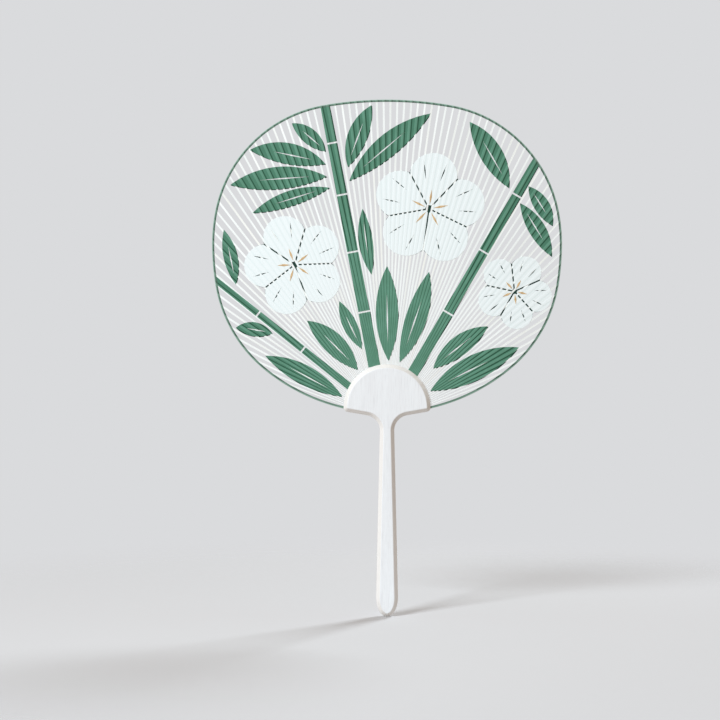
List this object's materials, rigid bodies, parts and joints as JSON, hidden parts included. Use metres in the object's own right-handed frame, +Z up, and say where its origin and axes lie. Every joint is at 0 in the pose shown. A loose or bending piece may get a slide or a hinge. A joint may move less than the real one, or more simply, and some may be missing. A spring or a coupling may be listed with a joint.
{
  "type": "round uchiwa hand fan",
  "caption": "Round rigid hand fan: an openwork leaf of fine bamboo ribs between cut papers, bound at the rim and seated in a slotted wooden handle.",
  "frame": {"origin": "on the handle's axis at the middle of the grip, where a hand or a stand holds the fan", "axes": "+Z up the handle towards the leaf, -Y out of the leaf's front, +X to the right as seen from the front"},
  "size_m": [0.25, 0.009, 0.369],
  "materials": {
    "handle_wood": "bare pale wood, finely sanded",
    "bamboo": "split bamboo, pale and smooth",
    "green_paper": "matt dyed paper",
    "white_paper": "matt white paper",
    "ochre_paper": "matt ochre paper",
    "binding_paper": "matt dyed paper strip",
    "root_paper": "plain paper"
  },
  "bodies": {
    "root": {"back_blossom_large": "green_paper", "back_blossom_middle": "green_paper", "back_blossom_small": "green_paper", "back_culm_right": "green_paper", "back_culms_left": "green_paper", "back_leaves_centre": "green_paper", "back_leaves_crown": "green_paper", "back_leaves_left": "green_paper", "back_leaves_low_left": "green_paper", "back_leaves_low_right": "green_paper", "back_leaves_right": "green_paper", "back_stamens": "ochre_paper", "edge_binding": "binding_paper", "front_blossom_large": "white_paper", "front_blossom_middle": "white_paper", "front_blossom_small": "white_paper", "front_culm_right": "green_paper", "front_culms_left": "green_paper", "front_leaves_centre": "green_paper", "front_leaves_crown": "green_paper", "front_leaves_left": "green_paper", "front_leaves_low_left": "green_paper", "front_leaves_low_right": "green_paper", "front_leaves_right": "green_paper", "front_stamens": "ochre_paper", "handle": "handle_wood", "ribs_left_01": "bamboo", "ribs_left_02": "bamboo", "ribs_left_03": "bamboo", "ribs_left_04": "bamboo", "ribs_left_05": "bamboo", "ribs_left_06": "bamboo", "ribs_left_07": "bamboo", "ribs_left_08": "bamboo", "ribs_left_09": "bamboo", "ribs_left_10": "bamboo", "ribs_left_11": "bamboo", "ribs_left_12": "bamboo", "ribs_left_13": "bamboo", "ribs_left_14": "bamboo", "ribs_left_15": "bamboo", "ribs_right_01": "bamboo", "ribs_right_02": "bamboo", "ribs_right_03": "bamboo", "ribs_right_04": "bamboo", "ribs_right_05": "bamboo", "ribs_right_06": "bamboo", "ribs_right_07": "bamboo", "ribs_right_08": "bamboo", "ribs_right_09": "bamboo", "ribs_right_10": "bamboo", "ribs_right_11": "bamboo", "ribs_right_12": "bamboo", "ribs_right_13": "bamboo", "ribs_right_14": "bamboo", "ribs_right_15": "bamboo", "root_paper_back": "root_paper", "root_paper_front": "root_paper"}
  },
  "joints": []
}
